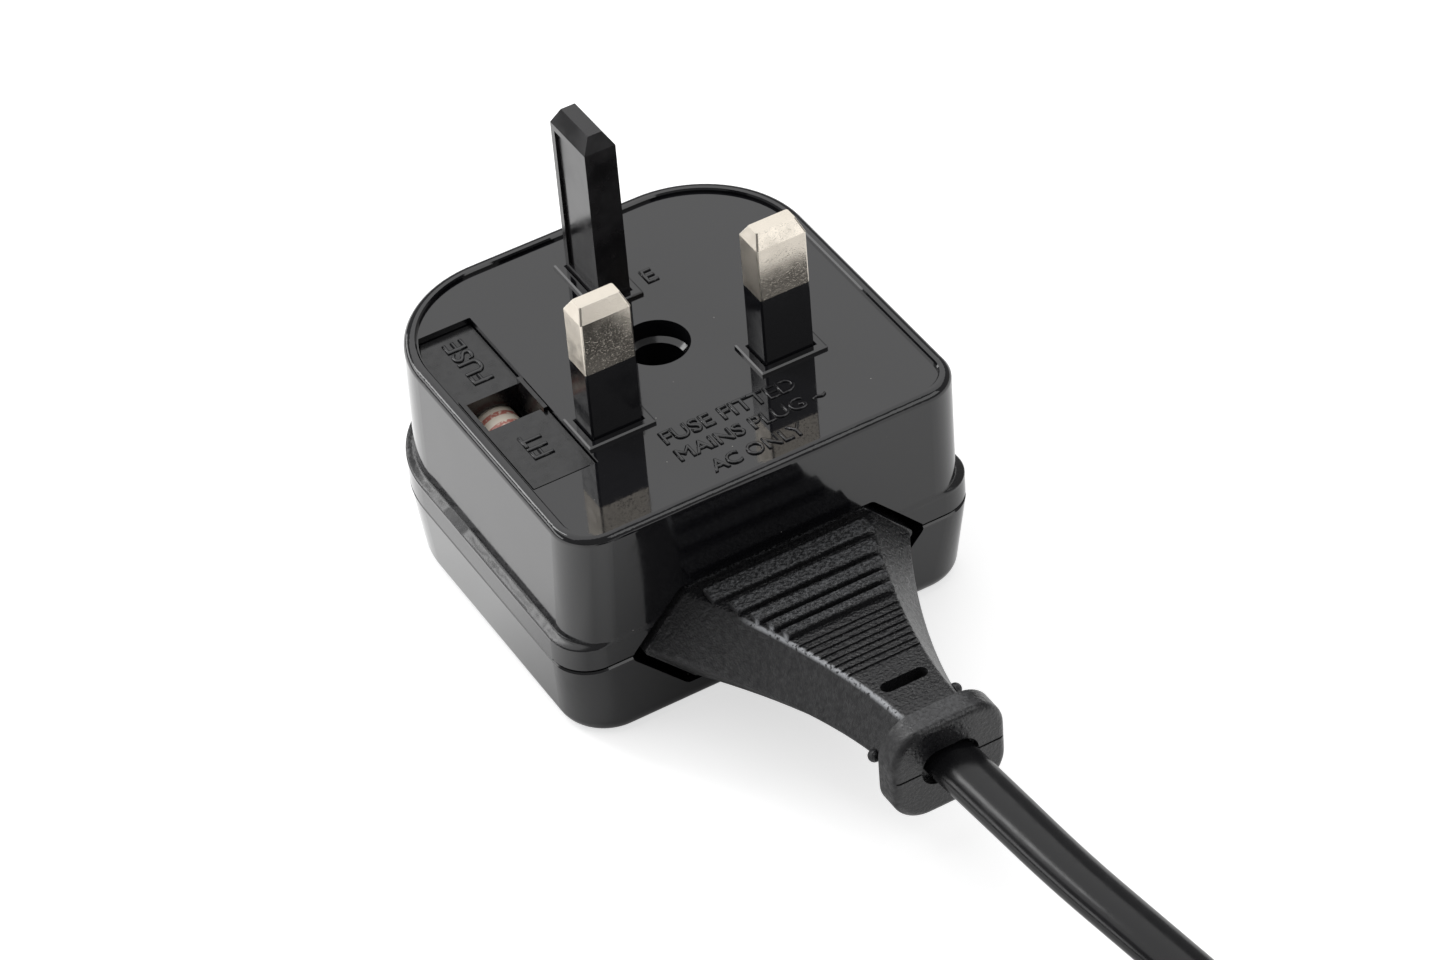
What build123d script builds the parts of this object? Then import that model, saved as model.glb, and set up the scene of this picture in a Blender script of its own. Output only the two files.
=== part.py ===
from build123d import *
import os
from math import cos, pi, radians, sqrt, tan

# Three-pin converter plug closed round a flat two-pin plug and its lead.
# Millimetres. +Z runs along the pins, +X from the live to the neutral pin, +Y to the earth pin.
# The origin lies on the cover's flat outer face, under the middle of the two line pins.

# Housing, seen from the pins
BODY_WIDTH = 51.2
BODY_FRONT = 16.2
BODY_BACK = 33.6
FRONT_CORNER = 4.9
BACK_CORNER = 14.6
BASE_HEIGHT = 19.0
COVER_HEIGHT = 10.6
WALL = 2.1
FACE_WALL = 2.4
COVER_FLOOR = 2.2
FRONT_LEAN = 0.8
TOP_DRAW = 0.4
COVER_DRAFT = 5.4
COVER_CORNER = 6.3
COVER_EDGE = 2.0

# Raised rim round the pin face
RIM_WIDTH = 1.5
RIM_HEIGHT = 0.5
RIM_EDGE = 0.9

# Flange under the finger grips, and the gap at the parting line
FLANGE = 1.05
FLANGE_CORNER = 4.6
FLANGE_BAND = 3.3
LEDGE_HEIGHT = 0.6
LEDGE_STEPS = 5
PARTING_GROOVE = 0.2
FRONT_GAP = (0.42, 0.7)
LIP_WALL = 1.0
LIP_HEIGHT = 1.5
LIP_FIT = 0.15

# Pins, to the common three-pin pattern, with reaches measured from the rim
PIN_SPACING = 22.23
EARTH_PITCH = 22.23
LINE_PIN = (6.35, 3.97)
LINE_REACH = 17.8
LINE_TIP = (0.63, 1.06, 1.6)
PIN_EDGE = 0.25
SLEEVE_REACH = 9.15
SLEEVE_WALL = 0.6
EARTH_PIN = (3.97, 7.92)
EARTH_REACH = 22.8
EARTH_TIP = (1.08, 0.86, 1.85)
EARTH_CHEEK = 0.35
EARTH_CHEEK_MARGIN = 0.8
EARTH_ROOT = 1.5
PIN_FIT = 0.05
PIN_SEAT_WALL = 1.05
PIN_SEAT_DEPTH = 4.0
COLLAR_MARGIN = 1.1
COLLAR_HEIGHT = 0.5
COLLAR_BEVEL = 0.18

# Closing screw and its tunnel between the pins
SCREW_Y = 9.0
TUNNEL_D = 8.0
TUNNEL_STEP = 0.7
TUNNEL_SLOPE = 0.4
TUNNEL_WALL = 0.8
SCREW_HEAD = (6.0, 2.2)
SCREW_SHANK_D = 2.9
SCREW_LENGTH = 11.0
SCREW_SLOT = (0.9, 1.1)
SCREW_FIT = 0.1
SCREW_SEAT = 2.0
SEAT_ABOVE_PARTING = 5.4
BOSS_D = 6.8

# Cartridge fuse and its pull-out carrier
FUSE_LENGTH = 25.4
FUSE_CAP = 5.6
FUSE_CAP_END = 0.4
FUSE_CAP_WALL = 0.175
FUSE_DEPTH = 2.8
FUSE_Y = 9.3
CARRIER_PIN_GAP = 1.15
CARRIER_SIDE = 0.78
CARRIER_NEAR = -4.9
CARRIER_FAR = 24.9
CARRIER_PLATE = 1.6
CARRIER_RAIL = 0.5
CARRIER_FIT = 0.15
CARRIER_SKIRT = 7.5
WINDOW_NEAR = 6.4
WINDOW_FAR = 12.7
PANEL_DROP = 0.9
PRY_STEP = (0.9, 0.6)

# Folded contact strip
STRIP = 0.6
STRIP_WIDTH = 3.2
CLIP_FIT = 0.12
CLIP_RISE = 5.0
SOCKET_NEAR = 11.0
SOCKET_FAR = 19.0
SOCKET_FIT = 0.1
SOCKET_DROP = 2.0
POST = 2.4

# Two-pin plug held in the housing
PLUG_WIDTH = 35.3
PLUG_TOP_WIDTH = 22.8
PLUG_THICK = 13.7
PLUG_EDGE = 0.7
PLUG_FACE_Y = 4.0
PLUG_PIN_D = 4.0
PLUG_PIN_CORE_D = 3.0
PLUG_PIN_SPACING = 18.6
PLUG_PIN_LENGTH = 19.0
PLUG_SLEEVE_D = 3.8
PLUG_SLEEVE_LENGTH = 10.0
PLUG_PIN_DEPTH = 8.0
BED_RIB = 1.2
BED_RIB_LENGTH = 14.0
BED_RIB_PLACES = (-11.0, 0.0)
APERTURE_SIDE_GAP = 1.65
APERTURE_EDGE_GAP = 1.1
APERTURE_TOP_GAP = 0.5
APERTURE_EDGE = 1.0

# The plug's moulded tail, outside the cord wall
TAIL_LENGTH = 32.7
TAIL_RISE = 2.6
TAIL_START = (17.3, 12.0, 6.2, 12.0, 6.2)
TAIL_END = (5.9, 3.4, 5.6, 2.3, 4.2)
TAIL_HOLLOW = 1.65
TAIL_SECTIONS = 7
RIB_FIRST = 1.5
RIB_WIDTHS = (2.4, 2.0, 1.6, 1.35, 1.25)
RIB_GAPS = (1.2, 1.0, 0.75, 0.75)
RIB_HEIGHT = 0.9
RIB_EDGE = 0.3
RIB_INSET = 1.0
GROOVE_FIRST = 15.2
GROOVE_PITCH = 1.05
GROOVE_COUNT = 8
GROOVE = (0.4, 0.22)
WINDOW_SLOT = (5.8, 1.7, 2.0)
WINDOW_SLOT_AT = 26.8
COLLAR = (14.2, 12.7, 3.1)
COLLAR_CORNER = 4.4
COLLAR_EDGE = 0.9
COLLAR_SEAM = (0.25, 0.2)
NIB_R = 0.75
NIB_PLACES = ((-1, 30.1), (1, 26.1))
CORD_MOUTH = (7.2, 4.8, 1.0)

# Flat two-core lead, and the coil that its unseen length is put away in
CORD_WIDTH = 6.2
CORD_THICK = 3.8
CORD_EXIT_Z = COVER_HEIGHT + TAIL_RISE * (TAIL_LENGTH + COLLAR[2]) / TAIL_LENGTH
CORD_EXIT_Y = -(BODY_FRONT + TAIL_LENGTH + COLLAR[2] - CORD_MOUTH[2])
CORD_ROUTE = (
    (0.2, CORD_EXIT_Y, CORD_EXIT_Z),
    (0.7, -61.3, 13.8),
    (1.4, -72.5, 13.9),
    (2.5, -83.0, 13.5),
    (4.2, -93.5, 12.2),
    (6.8, -104.0, 9.7),
    (10.0, -115.0, 6.0),
    (13.3, -125.3, 2.8),
)
COIL_CENTRE = (-23.5, -133.5)
COIL_MEAN_R = 31.5
COIL_PITCH = 6.3
COIL_COLUMNS = 3
COIL_LAYER = 3.9
COIL_LAYERS = 3
COIL_EDGE = 1.6
TIE_ANGLE = 200.0
TIE_WIDTH = 9.0
TIE_THICK = 0.6
TIE_FIT = 0.1

# Appliance connector on the lead's far end
NOSE_LOBE_R = 3.8
NOSE_LENGTH = 13.0
NOSE_WAIST = 6.0
SOCKET_PITCH = 8.6
SOCKET_D = 2.6
SOCKET_SHELL = 0.35
SOCKET_DEPTH = 11.0
GRIP = (19.0, 10.4, 14.0)
GRIP_CORNER = 3.6
RELIEF = (9.6, 6.4, 10.0)
RELIEF_END = (7.6, 5.2)
CONNECTOR_ANGLE = 285.0

# Levels worked out from the sizes above
FACE_Z = COVER_HEIGHT + BASE_HEIGHT
RIM_Z = FACE_Z + RIM_HEIGHT
CEILING_Z = FACE_Z - FACE_WALL
FLANGE_Z = COVER_HEIGHT + FLANGE_BAND
LEDGE_Z = FLANGE_Z + LEDGE_HEIGHT
SEAT_Z = COVER_HEIGHT + SEAT_ABOVE_PARTING
TUNNEL_FOOT_Z = SEAT_Z - SCREW_SEAT
LINE_X = PIN_SPACING / 2
PIN_SEAT_Z = CEILING_Z - PIN_SEAT_DEPTH
SLEEVE_Z = RIM_Z + SLEEVE_REACH
CARRIER_LEFT = -(BODY_WIDTH / 2 - WALL - CARRIER_FIT)
CARRIER_RIGHT = -(LINE_X + LINE_PIN[0] / 2 + CARRIER_PIN_GAP)
CARRIER_WIDTH = CARRIER_RIGHT - CARRIER_LEFT
FUSE_D = CARRIER_WIDTH - 2 * CARRIER_SIDE
FUSE_BODY_D = FUSE_D - 2 * FUSE_CAP_WALL
FUSE_X = CARRIER_LEFT + CARRIER_WIDTH / 2
FUSE_Z = FACE_Z - FUSE_DEPTH - FUSE_D / 2
FUSE_NEAR = FUSE_Y - FUSE_LENGTH / 2
FUSE_FAR = FUSE_Y + FUSE_LENGTH / 2
STRIP_Z = FUSE_Z - FUSE_D / 2 - CLIP_FIT
PLUG_PIN_X = PLUG_PIN_SPACING / 2
COIL_RADIAL = COIL_PITCH * COIL_COLUMNS
COIL_INNER_R = COIL_MEAN_R - COIL_RADIAL / 2
COIL_OUTER_R = COIL_MEAN_R + COIL_RADIAL / 2
COIL_FLOOR_Z = TIE_THICK + TIE_FIT
COIL_TOP_Z = COIL_FLOOR_Z + COIL_LAYER * COIL_LAYERS

os.makedirs("parts", exist_ok=True)


def housing_face(out=0.0, inset=0.0, lean=0.0, corner=FRONT_CORNER):
    """The housing's outline, its sides and back moved out and its cord wall by the lean, then drawn in."""
    with BuildSketch(mode=Mode.PRIVATE) as face:
        with Locations((0, (BODY_BACK + out - BODY_FRONT - lean) / 2)):
            Rectangle(BODY_WIDTH + 2 * out, BODY_FRONT + lean + BODY_BACK + out)
        fillet(face.vertices().group_by(Axis.Y)[0], corner)
        fillet(face.vertices().group_by(Axis.Y)[-1], BACK_CORNER + out)
        if inset > 0:
            offset(amount=-inset, mode=Mode.REPLACE)
    return face.sketch


def hexagon(half_middle, half_top, rise, half_bottom, drop, edge):
    """A flat six-sided section, widest at the middle, with rounded edges."""
    corners = [
        (half_middle, 0),
        (half_top, rise),
        (-half_top, rise),
        (-half_middle, 0),
        (-half_bottom, -drop),
        (half_bottom, -drop),
    ]
    with BuildSketch(mode=Mode.PRIVATE) as section:
        Polygon(*corners, align=None)
        fillet(section.vertices(), edge)
    return section.sketch


def cordward(distance, rise=0.0):
    """A plane across the plug that faces the cord, this far towards it from the pin line."""
    return Plane(origin=(0, -distance, COVER_HEIGHT + rise), x_dir=(1, 0, 0), z_dir=(0, -1, 0))


def tail_plane(along):
    """A plane across the plug's tail, this far out of the cord wall."""
    return cordward(BODY_FRONT + along, TAIL_RISE * along / TAIL_LENGTH)


def tail_size(along):
    """The tail's section: half width at the middle, then half width and height above, and below."""
    left = max(0.0, 1 - along / TAIL_LENGTH) ** TAIL_HOLLOW
    return [end + (start - end) * left for start, end in zip(TAIL_START, TAIL_END)]


def save(piece, name):
    piece.part.label = name
    export_step(piece.part, f"parts/{name}.step")


PLUG_SECTION = hexagon(PLUG_WIDTH / 2, *(PLUG_TOP_WIDTH / 2, PLUG_THICK / 2) * 2, PLUG_EDGE)
aperture_top = (PLUG_TOP_WIDTH / 2 + APERTURE_EDGE_GAP, PLUG_THICK / 2 + APERTURE_TOP_GAP)
APERTURE = hexagon(PLUG_WIDTH / 2 + APERTURE_SIDE_GAP, *aperture_top * 2, APERTURE_EDGE)
LINE_PLACES = ((-LINE_X, 0), (LINE_X, 0))
EARTH_PLACE = (0, EARTH_PITCH)

# Outline of the fuse carrier, cut off by the inside of the housing's rounded corner
with BuildSketch() as carrier_face:
    with Locations((FUSE_X, (CARRIER_NEAR + CARRIER_FAR) / 2)):
        Rectangle(CARRIER_WIDTH, CARRIER_FAR - CARRIER_NEAR)
    add(housing_face(inset=WALL + CARRIER_FIT), mode=Mode.INTERSECT)

# Base housing: flange, finger-grip ledge, walls with a leaning cord side, rimmed pin face
with BuildPart() as base_housing:
    with BuildSketch(Plane.XY.offset(COVER_HEIGHT)):
        add(housing_face(FLANGE, corner=FLANGE_CORNER))
    extrude(amount=FLANGE_BAND)
    for step in range(LEDGE_STEPS + 1):
        share = (1 + cos(pi * step / LEDGE_STEPS)) / 2
        corner = FRONT_CORNER + (FLANGE_CORNER - FRONT_CORNER) * share
        with BuildSketch(Plane.XY.offset(FLANGE_Z + LEDGE_HEIGHT * step / LEDGE_STEPS)):
            add(housing_face(FLANGE * share, corner=corner))
    loft()
    with BuildSketch(Plane.XY.offset(LEDGE_Z)):
        add(housing_face())
    with BuildSketch(Plane.XY.offset(RIM_Z)):
        add(housing_face(-TOP_DRAW, lean=FRONT_LEAN))
    loft(ruled=True)
    fillet(base_housing.faces().sort_by(Axis.Z)[-1].edges(), RIM_EDGE)
    chamfer(base_housing.faces().sort_by(Axis.Z)[0].edges(), PARTING_GROOVE)
    # Wider gap at the parting line, across the cord wall and round its corners
    with BuildSketch(Plane.XY.offset(COVER_HEIGHT)):
        with Locations((0, -BODY_FRONT)):
            Rectangle(BODY_WIDTH + 4 * FLANGE, 2 * FLANGE_CORNER)
        add(housing_face(FLANGE, FRONT_GAP[1], corner=FLANGE_CORNER), mode=Mode.SUBTRACT)
    extrude(amount=FRONT_GAP[0], mode=Mode.SUBTRACT)
    with BuildSketch(Plane.XY.offset(FACE_Z)):
        add(housing_face(-TOP_DRAW, RIM_WIDTH, FRONT_LEAN))
    extrude(amount=RIM_HEIGHT, mode=Mode.SUBTRACT)
    # Hollow, open at the parting line
    with BuildSketch(Plane.XY.offset(COVER_HEIGHT)):
        add(housing_face(inset=WALL))
    extrude(amount=CEILING_Z - COVER_HEIGHT, mode=Mode.SUBTRACT)
    # Collars on the face and seats under it, round each pin
    with BuildSketch(Plane.XY.offset(FACE_Z)):
        with Locations(*LINE_PLACES):
            Rectangle(LINE_PIN[0] + 2 * COLLAR_MARGIN, LINE_PIN[1] + 2 * COLLAR_MARGIN)
        with Locations(EARTH_PLACE):
            Rectangle(EARTH_PIN[0] + 2 * COLLAR_MARGIN, EARTH_PIN[1] + 2 * COLLAR_MARGIN)
    extrude(amount=COLLAR_HEIGHT)
    with BuildSketch(Plane.XY.offset(CEILING_Z)):
        with Locations(*LINE_PLACES):
            Rectangle(LINE_PIN[0] + 2 * PIN_SEAT_WALL, LINE_PIN[1] + 2 * PIN_SEAT_WALL)
    extrude(amount=-PIN_SEAT_DEPTH)
    # Tunnel for the closing screw, down to the head's seat
    with BuildSketch(Plane.XY.offset(CEILING_Z)):
        with Locations((0, SCREW_Y)):
            Circle(TUNNEL_D / 2 + TUNNEL_WALL)
    extrude(amount=TUNNEL_FOOT_Z - CEILING_Z)
    # Posts that hold the contact strips down, and ribs that hold the plug down
    with BuildSketch(Plane.XY.offset(CEILING_Z)):
        with Locations((-PLUG_PIN_X - POST, SOCKET_FAR - POST), (PLUG_PIN_X + POST, SOCKET_FAR - POST)):
            Rectangle(POST, POST)
    extrude(amount=STRIP_Z - CEILING_Z)
    with BuildSketch(Plane.XY.offset(CEILING_Z)):
        with Locations(*[(0, place) for place in BED_RIB_PLACES]):
            Rectangle(BED_RIB_LENGTH, BED_RIB)
    extrude(amount=COVER_HEIGHT + PLUG_THICK / 2 - CEILING_Z)
    # Inner wall beside the fuse carrier
    with BuildSketch(Plane.XY.offset(CEILING_Z)):
        with Locations((CARRIER_RIGHT + CARRIER_FIT + WALL / 4, (CARRIER_NEAR + CARRIER_FAR) / 2)):
            Rectangle(WALL / 2, CARRIER_FAR - CARRIER_NEAR)
    extrude(amount=-CARRIER_SKIRT + CARRIER_PLATE)
    # Openings
    with BuildSketch(Plane.XY.offset(CEILING_Z)):
        add(carrier_face.sketch)
        offset(amount=CARRIER_FIT, mode=Mode.REPLACE)
    extrude(amount=RIM_Z - CEILING_Z, mode=Mode.SUBTRACT)
    with BuildSketch(Plane.XY.offset(PIN_SEAT_Z)):
        with Locations(*LINE_PLACES):
            Rectangle(LINE_PIN[0] + 2 * PIN_FIT, LINE_PIN[1] + 2 * PIN_FIT)
        with Locations(EARTH_PLACE):
            Rectangle(EARTH_PIN[0] + 2 * PIN_FIT, EARTH_PIN[1] + 2 * PIN_FIT)
    extrude(amount=RIM_Z - PIN_SEAT_Z, mode=Mode.SUBTRACT)
    collar_z = FACE_Z + COLLAR_HEIGHT
    chamfer(base_housing.edges().filter_by_position(Axis.Z, collar_z, collar_z), COLLAR_BEVEL)
    with Locations((0, SCREW_Y, FACE_Z)):
        Hole(TUNNEL_D / 2, depth=FACE_WALL)
        with Locations((0, 0, -FACE_WALL - TUNNEL_SLOPE / 2)):
            Cone(TUNNEL_D / 2 - TUNNEL_STEP, TUNNEL_D / 2, TUNNEL_SLOPE, mode=Mode.SUBTRACT)
        Hole(TUNNEL_D / 2 - TUNNEL_STEP, depth=FACE_Z - SEAT_Z)
        Hole(SCREW_SHANK_D / 2 + SCREW_FIT, depth=FACE_Z - TUNNEL_FOOT_Z)
    with BuildSketch(cordward(BODY_FRONT + WALL)):
        add(APERTURE)
    extrude(amount=-2 * WALL - LIP_WALL, mode=Mode.SUBTRACT)
save(base_housing, "base_housing")

# Back cover: tray with drafted sides, a locating lip, a screw boss and ribs under the plug
with BuildPart() as back_cover:
    with BuildSketch():
        add(housing_face(FLANGE - COVER_HEIGHT * tan(radians(COVER_DRAFT)), corner=COVER_CORNER))
    with BuildSketch(Plane.XY.offset(COVER_HEIGHT - PARTING_GROOVE)):
        add(housing_face(FLANGE, corner=FLANGE_CORNER))
    with BuildSketch(Plane.XY.offset(COVER_HEIGHT)):
        add(housing_face(FLANGE, PARTING_GROOVE, corner=FLANGE_CORNER))
    loft(ruled=True)
    fillet(back_cover.faces().sort_by(Axis.Z)[0].edges(), COVER_EDGE)
    with BuildSketch(Plane.XY.offset(COVER_HEIGHT)):
        add(housing_face(inset=WALL + LIP_FIT))
    extrude(amount=LIP_HEIGHT)
    with BuildSketch(Plane.XY.offset(COVER_FLOOR)):
        add(housing_face(inset=WALL + LIP_FIT + LIP_WALL))
    extrude(amount=COVER_HEIGHT + LIP_HEIGHT - COVER_FLOOR, mode=Mode.SUBTRACT)
    with BuildSketch(Plane.XY.offset(COVER_FLOOR)):
        with Locations((0, SCREW_Y)):
            Circle(BOSS_D / 2)
    extrude(amount=TUNNEL_FOOT_Z - COVER_FLOOR)
    with BuildSketch(Plane.XY.offset(COVER_FLOOR)):
        with Locations(*[(0, place) for place in BED_RIB_PLACES]):
            Rectangle(BED_RIB_LENGTH, BED_RIB)
    extrude(amount=COVER_HEIGHT - PLUG_THICK / 2 - COVER_FLOOR)
    with Locations((0, SCREW_Y, TUNNEL_FOOT_Z)):
        Hole(SCREW_SHANK_D / 2 + SCREW_FIT / 2, depth=SCREW_LENGTH)
    with BuildSketch(cordward(BODY_FRONT + WALL)):
        add(APERTURE)
    extrude(amount=-2 * WALL - LIP_WALL - LIP_FIT, mode=Mode.SUBTRACT)
save(back_cover, "back_cover")

# Line pins: plated heads on narrower stems, each stem in a moulded sleeve
tip_low = RIM_Z + LINE_REACH - LINE_TIP[2]
for name, place in zip(("live_pin", "neutral_pin"), LINE_PLACES):
    with BuildPart() as pin:
        with BuildSketch(Plane.XY.offset(STRIP_Z)):
            with Locations(place):
                Rectangle(LINE_PIN[0] - 2 * SLEEVE_WALL, LINE_PIN[1] - 2 * SLEEVE_WALL)
        extrude(amount=SLEEVE_Z - STRIP_Z)
        with BuildSketch(Plane.XY.offset(SLEEVE_Z)):
            with Locations(place):
                RectangleRounded(*LINE_PIN, PIN_EDGE)
        extrude(amount=tip_low - SLEEVE_Z)
        with BuildSketch(Plane.XY.offset(tip_low)):
            with Locations(place):
                RectangleRounded(*LINE_PIN, PIN_EDGE)
        with BuildSketch(Plane.XY.offset(RIM_Z + LINE_REACH)):
            with Locations(place):
                RectangleRounded(LINE_PIN[0] - 2 * LINE_TIP[0], LINE_PIN[1] - 2 * LINE_TIP[1], PIN_EDGE)
        loft(ruled=True)
    save(pin, name)
    with BuildPart() as sleeve:
        with BuildSketch(Plane.XY.offset(PIN_SEAT_Z)):
            with Locations(place):
                RectangleRounded(*LINE_PIN, PIN_EDGE)
                Rectangle(
                    LINE_PIN[0] - 2 * SLEEVE_WALL, LINE_PIN[1] - 2 * SLEEVE_WALL, mode=Mode.SUBTRACT
                )
        extrude(amount=SLEEVE_Z - PIN_SEAT_Z)
    save(sleeve, f"{name}_sleeve")

# Earth pin: moulded plastic with recessed cheeks and a root flange under the face
earth_tip_low = RIM_Z + EARTH_REACH - EARTH_TIP[2]
with BuildPart() as earth_pin:
    with BuildSketch(Plane.XY.offset(CEILING_Z)):
        with Locations(EARTH_PLACE):
            Rectangle(*EARTH_PIN)
    extrude(amount=earth_tip_low - CEILING_Z)
    with BuildSketch(Plane.XY.offset(earth_tip_low)):
        with Locations(EARTH_PLACE):
            Rectangle(*EARTH_PIN)
    with BuildSketch(Plane.XY.offset(RIM_Z + EARTH_REACH)):
        with Locations(EARTH_PLACE):
            Rectangle(EARTH_PIN[0] - 2 * EARTH_TIP[0], EARTH_PIN[1] - 2 * EARTH_TIP[1])
    loft()
    with BuildSketch(Plane.XY.offset(CEILING_Z)):
        with Locations(EARTH_PLACE):
            Rectangle(EARTH_PIN[0] + 2 * EARTH_ROOT, EARTH_PIN[1] + 2 * EARTH_ROOT)
    extrude(amount=-EARTH_ROOT)
    with BuildSketch(Plane.XY.offset(FACE_Z + COLLAR_HEIGHT + EARTH_CHEEK_MARGIN)):
        with Locations((-EARTH_PIN[0] / 2, EARTH_PITCH), (EARTH_PIN[0] / 2, EARTH_PITCH)):
            Rectangle(2 * EARTH_CHEEK, EARTH_PIN[1] - 2 * EARTH_CHEEK_MARGIN)
    extrude(
        amount=earth_tip_low - FACE_Z - COLLAR_HEIGHT - 2 * EARTH_CHEEK_MARGIN, mode=Mode.SUBTRACT
    )
save(earth_pin, "earth_pin")

# Closing screw with a slotted pan head
with BuildPart() as closing_screw:
    with BuildSketch(Plane.XY.offset(SEAT_Z)):
        with Locations((0, SCREW_Y)):
            Circle(SCREW_HEAD[0] / 2)
    extrude(amount=SCREW_HEAD[1])
    chamfer(closing_screw.faces().sort_by(Axis.Z)[-1].edges(), SCREW_HEAD[1] / 4)
    with BuildSketch(Plane.XY.offset(SEAT_Z)):
        with Locations((0, SCREW_Y)):
            Circle(SCREW_SHANK_D / 2)
    extrude(amount=-SCREW_LENGTH)
    chamfer(closing_screw.faces().sort_by(Axis.Z)[0].edges(), SCREW_SHANK_D / 5)
    with BuildSketch(Plane.XY.offset(SEAT_Z + SCREW_HEAD[1])):
        with Locations((0, SCREW_Y)):
            Rectangle(SCREW_HEAD[0], SCREW_SLOT[0])
    extrude(amount=-SCREW_SLOT[1], mode=Mode.SUBTRACT)
save(closing_screw, "closing_screw")

# Fuse carrier: flush near panel, window, sunk far panel, rails beside the fuse and two end walls
carrier_middle = (CARRIER_NEAR + CARRIER_FAR) / 2
with BuildPart() as fuse_carrier:
    with BuildSketch(Plane.XY.offset(FACE_Z)):
        add(carrier_face.sketch)
    extrude(amount=-CARRIER_PLATE)
    with BuildSketch(Plane.XY.offset(FACE_Z - CARRIER_PLATE)):
        with Locations((FUSE_X, FUSE_Y)):
            Rectangle(CARRIER_WIDTH, FUSE_LENGTH - 2 * FUSE_CAP - 2 * CLIP_FIT)
        with Locations((FUSE_X, (CARRIER_NEAR + FUSE_NEAR - CARRIER_FIT) / 2)):
            Rectangle(CARRIER_WIDTH, FUSE_NEAR - CARRIER_FIT - CARRIER_NEAR)
        with Locations((FUSE_X, (CARRIER_FAR + FUSE_FAR + CARRIER_FIT) / 2)):
            Rectangle(CARRIER_WIDTH, CARRIER_FAR - FUSE_FAR - CARRIER_FIT)
        add(carrier_face.sketch, mode=Mode.INTERSECT)
    extrude(amount=CARRIER_PLATE - CARRIER_SKIRT)
    with BuildSketch(Plane.XZ.offset(-FUSE_FAR - CARRIER_FIT)):
        with Locations((FUSE_X, FUSE_Z)):
            Circle(FUSE_D / 2 + CLIP_FIT)
        with Locations((FUSE_X, FUSE_Z - CARRIER_SKIRT / 2)):
            Rectangle(FUSE_D + 2 * CLIP_FIT, CARRIER_SKIRT)
    extrude(amount=FUSE_LENGTH + 2 * CARRIER_FIT, mode=Mode.SUBTRACT)
    with BuildSketch(Plane.XY.offset(FACE_Z)):
        with Locations((FUSE_X, (WINDOW_NEAR + WINDOW_FAR) / 2)):
            Rectangle(CARRIER_WIDTH - 2 * CARRIER_RAIL, WINDOW_FAR - WINDOW_NEAR)
    extrude(amount=-CARRIER_PLATE - FUSE_D / 2, mode=Mode.SUBTRACT)
    with BuildSketch(Plane.XY.offset(FACE_Z)):
        with Locations((FUSE_X, (WINDOW_FAR + CARRIER_FAR) / 2)):
            Rectangle(CARRIER_WIDTH, CARRIER_FAR - WINDOW_FAR)
    extrude(amount=-PANEL_DROP, mode=Mode.SUBTRACT)
    with BuildSketch(Plane.XY.offset(FACE_Z)):
        with Locations((CARRIER_RIGHT - PRY_STEP[0] / 2, (CARRIER_NEAR + WINDOW_NEAR) / 2)):
            Rectangle(PRY_STEP[0], WINDOW_NEAR - CARRIER_NEAR)
    extrude(amount=-PRY_STEP[1], mode=Mode.SUBTRACT)
save(fuse_carrier, "fuse_carrier")

# Cartridge fuse along the carrier: ceramic body and two plated end caps
with BuildPart() as fuse_body:
    with BuildSketch(Plane.XZ.offset(-FUSE_FAR + FUSE_CAP_END)):
        with Locations((FUSE_X, FUSE_Z)):
            Circle(FUSE_BODY_D / 2)
    extrude(amount=FUSE_LENGTH - 2 * FUSE_CAP_END)
save(fuse_body, "fuse_body")

with BuildPart() as fuse_caps:
    for end, inward in ((FUSE_NEAR, 1), (FUSE_FAR, -1)):
        with BuildSketch(Plane.XZ.offset(-end)):
            with Locations((FUSE_X, FUSE_Z)):
                Circle(FUSE_D / 2)
        extrude(amount=-inward * FUSE_CAP)
        with BuildSketch(Plane.XZ.offset(-end - inward * FUSE_CAP_END)):
            with Locations((FUSE_X, FUSE_Z)):
                Circle(FUSE_BODY_D / 2)
        extrude(amount=-inward * FUSE_CAP, mode=Mode.SUBTRACT)
save(fuse_caps, "fuse_caps")

# Folded strips: a clip under one end of the fuse, and a spring socket round a plug pin
clip_inner = FUSE_D / 2 + CLIP_FIT
clip_outer = clip_inner + STRIP
socket_inner = PLUG_PIN_D / 2 + SOCKET_FIT
socket_outer = socket_inner + STRIP
socket_top = COVER_HEIGHT + socket_outer


def clip_profile():
    """The fuse clip seen along the fuse: a floor and two upright legs."""
    with BuildSketch(mode=Mode.PRIVATE) as profile:
        with Locations((FUSE_X, STRIP_Z - STRIP / 2)):
            Rectangle(2 * clip_outer, STRIP)
        with Locations(
            (FUSE_X - clip_outer + STRIP / 2, STRIP_Z - STRIP + CLIP_RISE / 2),
            (FUSE_X + clip_outer - STRIP / 2, STRIP_Z - STRIP + CLIP_RISE / 2),
        ):
            Rectangle(STRIP, CLIP_RISE)
    return profile.sketch


def socket_profile(side):
    """The spring socket seen along the plug pin: a roof, two legs, and a riser to the strip."""
    with BuildSketch(mode=Mode.PRIVATE) as profile:
        with Locations((side * PLUG_PIN_X, socket_top - STRIP / 2)):
            Rectangle(2 * socket_outer, STRIP)
        leg = socket_top - COVER_HEIGHT + SOCKET_DROP
        with Locations(
            (side * PLUG_PIN_X - socket_outer + STRIP / 2, socket_top - leg / 2),
            (side * PLUG_PIN_X + socket_outer - STRIP / 2, socket_top - leg / 2),
        ):
            Rectangle(STRIP, leg)
        riser_x = side * (PLUG_PIN_X + socket_outer - STRIP / 2)
        with Locations((riser_x, (socket_top + STRIP_Z) / 2 - STRIP / 2)):
            Rectangle(STRIP, STRIP_Z - socket_top + STRIP)
    return profile.sketch


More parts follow.
